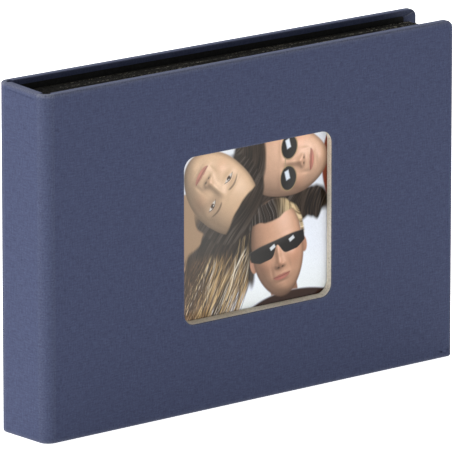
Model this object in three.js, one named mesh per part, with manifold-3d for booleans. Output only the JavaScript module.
// A slip-in photo album standing closed on its bottom edge: a cloth-covered case with a picture
// window in the front cover, and black leaves with clear pockets inside.
// Millimetres, +Z up. X runs from the spine (-X) to the fore edge (+X). The front cover faces -Y.
// The origin is at the middle of the base.

import * as THREE from "three";
import { mergeVertices } from "three/addons/utils/BufferGeometryUtils.js";
import Module from "manifold-3d";

const wasm = await Module();
wasm.setup();

// ---- Case ----
const CASE_WIDTH = 182; // spine to fore edge
const CASE_THICKNESS = 26; // over both covers, at the spine
const FRONT_HEIGHT = 120;
const BACK_HEIGHT = 120.9; // the back board is cut a little taller
const COVER_LEAN = THREE.MathUtils.degToRad(0.55); // each cover closes in towards the fore edge
const HEAD_CORNER_RADIUS = 2.8; // at the fore corners of a cover
const FOOT_CORNER_RADIUS = 1;

// ---- Layers of a cover, from the outside in ----
const CLOTH = 0.25;
const GLUE_GAP = 0.05; // left between two glued sheets
const BOARD = 2.5;
const LINER = 0.2;
const TURN_IN_WIDTH = 8; // cloth folded over the board's edges
const LINER_MARGIN = 2; // turn-in left bare at the liner's head and tail
const LINER_FORE_MARGIN = 6; // and at its fore edge

const BOARD_FACE = CLOTH + GLUE_GAP;
const BOARD_BACK = BOARD_FACE + BOARD;
const TURN_IN_FACE = BOARD_BACK + GLUE_GAP;
const TURN_IN_BACK = TURN_IN_FACE + CLOTH;
const LINER_FACE = TURN_IN_BACK + GLUE_GAP;
const LINER_BACK = LINER_FACE + LINER;

// ---- Flexible corner between the spine and a cover ----
const JOINT_RADIUS = 4.2; // outer radius of the rounded corner
const JOINT_GAP = 0.1; // between the joint's cloth and the stiff cloth beside it
const BOARD_START = 5; // where a board begins, from the virtual corner of the case
const LINER_START = 5.6;
const HINGE_INSET = 1.1; // a cover's hinge line, in from both outer faces
const JOINT_LINING_RADIUS = 2.4;

// ---- Window in the front cover ----
const WINDOW_WIDTH = 66;
const WINDOW_HEIGHT = 58.4;
const WINDOW_RADIUS = 4.5;
const WINDOW_CENTRE_HEIGHT = 60.1;
const WINDOW_RAKE = 1.2; // the hole runs this much upwards through the cover
const WINDOW_CENTRE = (BOARD_START + CASE_WIDTH) / 2;

// ---- Picture behind the window, a standard print ----
const PICTURE_WIDTH = 152;
const PICTURE_HEIGHT = 102;
const PICTURE_THICKNESS = 0.25;

// ---- Leaves ----
const LEAF_COUNT = 12;
const LEAF_PITCH = 1.5; // at the binding
const LEAF_CORE = 0.25;
const LEAF_BOTTOM = 3;
const LEAF_HEIGHT = 114;
const LEAF_FORE_EDGE = 179; // from the spine's outer face
const LEAF_CORNER_RADIUS = 2;
const LEAF_LEAN = THREE.MathUtils.degToRad(0.44); // of the outermost leaves
const BEND_LINE = 12.8; // where the back leaves bend, from the spine's outer face
const BEND_STEP = 0.18; // how fast the bend line comes forward over the front leaves
const BEND_STEP_LEAVES = 6; // the leaves over which it does
const BEND_GAP = 0.5; // cleared on each side of a bend line

// ---- Pockets: one clear film on each side of a leaf, open at the top ----
const FILM = 0.12;
const POCKET_DEPTH = 0.12;
const WELD_GAP = 0.05;
const WELD_WIDTH = 2;
const POCKET_START = 21;
const POCKET_END = 177.5;
const POCKET_BOTTOM = 5;
const POCKET_TOP = 116.6;

// ---- Binding that holds the leaves to the spine ----
const BINDING_START = LINER_BACK + 0.1;
const BINDING_END = 7.4;
const BINDING_CHAMFER = 1.2;
const BINDING_MARGIN = 0.25; // beyond the outermost leaf cores

const ARC_SEGMENTS = 6;
const FRONT = -1;
const BACK = 1;

// ---- Materials ----
function material(red, green, blue, roughness) {
  const colour = new THREE.Color().setRGB(red, green, blue, THREE.SRGBColorSpace);
  return new THREE.MeshStandardMaterial({ color: colour, roughness, metalness: 0 });
}

const navyCloth = () => material(0.30, 0.33, 0.44, 0.85);
const greyBoard = () => material(0.78, 0.74, 0.67, 0.95);
const blackPaper = () => material(0.05, 0.05, 0.05, 0.8);
const blackSheet = () => material(0.06, 0.06, 0.055, 0.5);
const clearFilm = () => {
  const film = material(0.85, 0.88, 0.9, 0.15);
  film.transparent = true;
  film.opacity = 0.35;
  return film;
};
const glossyPrint = () => material(0.55, 0.48, 0.42, 0.15);
const bindingGlue = () => material(0.12, 0.11, 0.1, 0.6);

// ---- Outlines ----
// A rectangle from (left, bottom) to (right, top), its right corners and, if asked, its left
// corners rounded. The lower right corner may have a radius of its own.
function outline(left, right, bottom, top, rightRadius = 0, leftRadius = 0, footRadius = rightRadius) {
  const shape = new THREE.Shape();
  shape.moveTo(left + leftRadius, bottom);
  shape.lineTo(right - footRadius, bottom);
  if (rightRadius > 0) {
    shape.absarc(right - footRadius, bottom + footRadius, footRadius, -Math.PI / 2, 0, false);
    shape.lineTo(right, top - rightRadius);
    shape.absarc(right - rightRadius, top - rightRadius, rightRadius, 0, Math.PI / 2, false);
  } else {
    shape.lineTo(right, top);
  }
  shape.lineTo(left + leftRadius, top);
  if (leftRadius > 0) {
    shape.absarc(left + leftRadius, top - leftRadius, leftRadius, Math.PI / 2, Math.PI, false);
    shape.lineTo(left, bottom + leftRadius);
    shape.absarc(left + leftRadius, bottom + leftRadius, leftRadius, Math.PI, 1.5 * Math.PI, false);
  } else {
    shape.closePath();
  }
  return shape;
}

// A band along a quarter circle in plan, turning about (centreX, centreY).
function quarterBand(centreX, centreY, outer, thickness, start) {
  const shape = new THREE.Shape();
  shape.absarc(centreX, centreY, outer, start, start + Math.PI / 2, false);
  shape.absarc(centreX, centreY, outer - thickness, start + Math.PI / 2, start, true);
  shape.closePath();
  return shape;
}

// ---- Solids ----
function extrude(shape, depth) {
  return new THREE.ExtrudeGeometry(shape, {
    depth,
    bevelEnabled: false,
    curveSegments: ARC_SEGMENTS,
  });
}

// A sheet whose outline lies along X and Z, between two places in Y.
function uprightSheet(shape, yFrom, yTo) {
  const low = Math.min(yFrom, yTo);
  const high = Math.max(yFrom, yTo);
  return extrude(shape, high - low).rotateX(Math.PI / 2).translate(0, high, 0);
}

// A sheet whose outline lies along Y and Z, between two places in X.
function crossSheet(shape, xFrom, xTo) {
  return extrude(shape, xTo - xFrom).rotateX(Math.PI / 2).rotateZ(Math.PI / 2).translate(xFrom, 0, 0);
}

// A post whose outline lies along X and Y, between two heights.
function post(shape, bottom, top) {
  return extrude(shape, top - bottom).translate(0, 0, bottom);
}

function toManifold(geometry) {
  const bare = geometry.clone();
  bare.deleteAttribute("normal");
  bare.deleteAttribute("uv");
  const merged = mergeVertices(bare, 1e-5);
  return new wasm.Manifold(new wasm.Mesh({
    numProp: 3,
    vertProperties: new Float32Array(merged.attributes.position.array),
    triVerts: new Uint32Array(merged.index.array),
  }));
}

function toGeometry(body) {
  const { vertProperties, triVerts } = body.getMesh();
  const geometry = new THREE.BufferGeometry();
  geometry.setAttribute("position", new THREE.BufferAttribute(vertProperties, 3));
  geometry.setIndex(new THREE.BufferAttribute(triVerts, 1));
  geometry.computeVertexNormals();
  return geometry;
}

function cut(geometry, ...tools) {
  let body = toManifold(geometry);
  for (const tool of tools) {
    body = body.subtract(toManifold(tool));
  }
  return toGeometry(body);
}

function join(...geometries) {
  let body = toManifold(geometries[0]);
  for (const geometry of geometries.slice(1)) {
    body = body.add(toManifold(geometry));
  }
  return toGeometry(body);
}

function piece(name, geometry, look) {
  const mesh = new THREE.Mesh(geometry, look);
  mesh.name = name;
  return mesh;
}

// ---- Places ----
// Plan distances are measured inwards from the case's outer faces: along X from the spine, and
// along Y from the cover on that side.
const SPINE_X = -CASE_WIDTH / 2;
const faceY = (side, inset) => side * (CASE_THICKNESS / 2 - inset);
const coverHeight = (side) => (side === FRONT ? FRONT_HEIGHT : BACK_HEIGHT);
const sideName = (side) => (side === FRONT ? "front" : "back");

// ---- Covers ----
// Inside a cover's group the origin is on its hinge line.
const coverX = (fromSpine) => fromSpine - HINGE_INSET;
const coverY = (side, inset) => side * (HINGE_INSET - inset);

function coverSheet(side, shape, insetFrom, insetTo) {
  return uprightSheet(shape, coverY(side, insetFrom), coverY(side, insetTo));
}

// The outline of a cover's layer, drawn in by a margin from the case's three free edges.
function coverOutline(side, start, margin, foreMargin = margin) {
  const headRadius = Math.max(HEAD_CORNER_RADIUS - margin, 0.5);
  const footRadius = Math.max(FOOT_CORNER_RADIUS - margin, 0.5);
  const end = coverX(CASE_WIDTH) - foreMargin;
  return outline(coverX(start), end, margin, coverHeight(side) - margin, headRadius, 0, footRadius);
}

function windowPunch() {
  const middle = coverX(WINDOW_CENTRE);
  const shape = outline(
    middle - WINDOW_WIDTH / 2,
    middle + WINDOW_WIDTH / 2,
    WINDOW_CENTRE_HEIGHT - WINDOW_HEIGHT / 2,
    WINDOW_CENTRE_HEIGHT + WINDOW_HEIGHT / 2,
    WINDOW_RADIUS,
    WINDOW_RADIUS,
  );
  const rake = new THREE.Matrix4().makeShear(0, 0, 0, WINDOW_RAKE / TURN_IN_BACK, 0, 0);
  const punch = coverSheet(FRONT, shape, -1, BOARD_BACK + 0.5);
  return punch.applyMatrix4(rake).translate(0, 0, (HINGE_INSET * WINDOW_RAKE) / TURN_IN_BACK);
}

function coverBoard(side) {
  const board = coverSheet(side, coverOutline(side, BOARD_START, BOARD_FACE), BOARD_FACE, BOARD_BACK);
  return side === FRONT ? cut(board, windowPunch()) : board;
}

// The cloth lies on the board's face, wraps its three free edges and is turned in behind it.
function coverCloth(side) {
  const start = JOINT_RADIUS + JOINT_GAP;
  const beyondStart = start - 1;
  const block = coverSheet(side, coverOutline(side, start, 0), 0, TURN_IN_BACK);
  const boardRoom = coverSheet(side, coverOutline(side, beyondStart, CLOTH), CLOTH, TURN_IN_FACE);
  const inside = coverSheet(side, coverOutline(side, beyondStart, TURN_IN_WIDTH), TURN_IN_FACE - 0.5, TURN_IN_BACK + 1);
  return side === FRONT ? cut(block, boardRoom, inside, windowPunch()) : cut(block, boardRoom, inside);
}

// The front liner is one flat sheet, and the picture lies in the space it closes off. The back
// liner has a filling sheet behind it, inside the turned-in cloth.
function coverLiner(side) {
  const shape = coverOutline(side, LINER_START, LINER_MARGIN, LINER_FORE_MARGIN);
  const sheet = coverSheet(side, shape, LINER_FACE, LINER_BACK);
  if (side === FRONT) {
    return sheet;
  }
  const filling = coverOutline(side, LINER_START, TURN_IN_WIDTH + 0.3);
  return join(sheet, coverSheet(side, filling, TURN_IN_FACE, LINER_FACE + LINER / 2));
}

function coverPicture() {
  const middle = coverX(WINDOW_CENTRE);
  const shape = outline(
    middle - PICTURE_WIDTH / 2,
    middle + PICTURE_WIDTH / 2,
    (FRONT_HEIGHT - PICTURE_HEIGHT) / 2,
    (FRONT_HEIGHT + PICTURE_HEIGHT) / 2,
  );
  return coverSheet(FRONT, shape, TURN_IN_FACE, TURN_IN_FACE + PICTURE_THICKNESS);
}

function cover(side) {
  const group = new THREE.Group();
  group.position.set(SPINE_X + HINGE_INSET, faceY(side, HINGE_INSET), 0);
  group.rotation.z = -side * COVER_LEAN;
  const name = `${sideName(side)}_cover`;
  group.add(piece(`${name}_board`, coverBoard(side), greyBoard()));
  group.add(piece(`${name}_cloth`, coverCloth(side), navyCloth()));
  group.add(piece(`${name}_liner`, coverLiner(side), blackPaper()));
  if (side === FRONT) {
    group.add(piece("cover_picture", coverPicture(), glossyPrint()));
  }
  return group;
}

// ---- Spine ----
// The spine's head slopes from the front cover's height up to the back cover's.
function headHeight(y) {
  const halfFlat = CASE_THICKNESS / 2 - JOINT_RADIUS;
  const share = (y / halfFlat + 1) / 2;
  return THREE.MathUtils.lerp(FRONT_HEIGHT, BACK_HEIGHT, share);
}

// A layer of the spine, standing between two insets from the covers.
function spineOutline(sideInset, margin) {
  const edge = CASE_THICKNESS / 2 - sideInset;
  const shape = new THREE.Shape();
  shape.moveTo(-edge, margin);
  shape.lineTo(edge, margin);
  shape.lineTo(edge, headHeight(edge) - margin);
  shape.lineTo(-edge, headHeight(-edge) - margin);
  shape.closePath();
  return shape;
}

function spineSheet(sideInset, margin, insetFrom, insetTo) {
  return crossSheet(spineOutline(sideInset, margin), SPINE_X + insetFrom, SPINE_X + insetTo);
}

function spineCloth() {
  const sideInset = JOINT_RADIUS + JOINT_GAP;
  const beyond = sideInset - 1;
  const block = spineSheet(sideInset, 0, 0, TURN_IN_BACK);
  const boardRoom = spineSheet(beyond, CLOTH, CLOTH, TURN_IN_FACE);
  const inside = spineSheet(beyond, TURN_IN_WIDTH, TURN_IN_FACE - 0.5, TURN_IN_BACK + 1);
  return cut(block, boardRoom, inside);
}

// The flexible corner: cloth outside and black paper inside, each bent round a quarter circle.
function jointCloth(side) {
  const start = side === FRONT ? Math.PI : Math.PI / 2;
  const centreX = SPINE_X + JOINT_RADIUS;
  const shape = quarterBand(centreX, faceY(side, JOINT_RADIUS), JOINT_RADIUS, CLOTH, start);
  return post(shape, BOARD_FACE, coverHeight(side) - BOARD_FACE);
}

function jointLining(side) {
  const start = side === FRONT ? Math.PI : Math.PI / 2;
  const inset = LINER_FACE + JOINT_LINING_RADIUS;
  const shape = quarterBand(SPINE_X + inset, faceY(side, inset), JOINT_LINING_RADIUS, LINER, start);
  return post(shape, LINER_MARGIN, coverHeight(side) - LINER_MARGIN);
}

// ---- Leaves ----
const leafNumbers = Array.from({ length: LEAF_COUNT }, (_, index) => index + 1);
const leafY = (number) => (number - (LEAF_COUNT + 1) / 2) * LEAF_PITCH;
const leafLean = (number) => LEAF_LEAN * (1 - (2 * (number - 1)) / (LEAF_COUNT - 1));
const bendLine = (number) => BEND_LINE - BEND_STEP * Math.max(0, BEND_STEP_LEAVES - number) ** 2;

// The bound margins of the leaves, welded into one block, with each margin's free end standing
// out to that leaf's bend line.
function pageBinding() {
  const outermost = leafY(LEAF_COUNT) + LEAF_CORE / 2 + BINDING_MARGIN;
  const start = SPINE_X + BINDING_START;
  const shape = new THREE.Shape();
  shape.moveTo(start, -outermost + BINDING_CHAMFER);
  shape.lineTo(start + BINDING_CHAMFER, -outermost);
  shape.lineTo(SPINE_X + BINDING_END, -outermost);
  shape.lineTo(SPINE_X + BINDING_END, outermost);
  shape.lineTo(start + BINDING_CHAMFER, outermost);
  shape.lineTo(start, outermost - BINDING_CHAMFER);
  shape.closePath();
  const margins = leafNumbers.map((number) => {
    const end = SPINE_X + bendLine(number) - BEND_GAP;
    const margin = outline(SPINE_X + BINDING_END - 1, end, LEAF_BOTTOM, LEAF_BOTTOM + LEAF_HEIGHT);
    return uprightSheet(margin, leafY(number) - LEAF_CORE / 2, leafY(number) + LEAF_CORE / 2);
  });
  return join(post(shape, LEAF_BOTTOM, LEAF_BOTTOM + LEAF_HEIGHT), ...margins);
}

// Inside a leaf's group the origin is on its bend line.
function leafCore(number) {
  const end = LEAF_FORE_EDGE - bendLine(number);
  const shape = outline(BEND_GAP, end, LEAF_BOTTOM, LEAF_BOTTOM + LEAF_HEIGHT, LEAF_CORNER_RADIUS);
  return uprightSheet(shape, -LEAF_CORE / 2, LEAF_CORE / 2);
}

// A clear film welded to the leaf along its spine side, fore side and bottom.
function pocketFilm(number, side) {
  const left = POCKET_START - bendLine(number);
  const right = POCKET_END - bendLine(number);
  const weldFace = side * (LEAF_CORE / 2 + WELD_GAP);
  const pocketFace = side * (LEAF_CORE / 2 + POCKET_DEPTH);
  const outerFace = side * (LEAF_CORE / 2 + POCKET_DEPTH + FILM);
  const block = outline(left, right, POCKET_BOTTOM, POCKET_TOP);
  const room = outline(left + WELD_WIDTH, right - WELD_WIDTH, POCKET_BOTTOM + WELD_WIDTH, POCKET_TOP + 1);
  return cut(uprightSheet(block, weldFace, outerFace), uprightSheet(room, 0, pocketFace));
}

function leaf(number) {
  const group = new THREE.Group();
  group.position.set(SPINE_X + bendLine(number), leafY(number), 0);
  group.rotation.z = leafLean(number);
  const name = `leaf_${String(number).padStart(2, "0")}`;
  group.add(piece(`${name}_core`, leafCore(number), blackSheet()));
  group.add(piece(`${name}_front_pocket`, pocketFilm(number, FRONT), clearFilm()));
  group.add(piece(`${name}_back_pocket`, pocketFilm(number, BACK), clearFilm()));
  return group;
}

// ---- Album ----
function spine() {
  const group = new THREE.Group();
  const board = spineSheet(BOARD_START, BOARD_FACE, BOARD_FACE, BOARD_BACK);
  const lining = spineSheet(LINER_FACE + JOINT_LINING_RADIUS + JOINT_GAP, LINER_MARGIN, LINER_FACE, LINER_BACK);
  group.add(piece("spine_board", board, greyBoard()));
  group.add(piece("spine_cloth", spineCloth(), navyCloth()));
  group.add(piece("spine_lining", lining, blackPaper()));
  group.add(piece("page_binding", pageBinding(), bindingGlue()));
  for (const side of [FRONT, BACK]) {
    group.add(piece(`${sideName(side)}_joint_cloth`, jointCloth(side), navyCloth()));
    group.add(piece(`${sideName(side)}_joint_lining`, jointLining(side), blackPaper()));
  }
  return group;
}

const album = new THREE.Group();
album.add(spine(), cover(FRONT), cover(BACK), ...leafNumbers.map(leaf));

export default album;
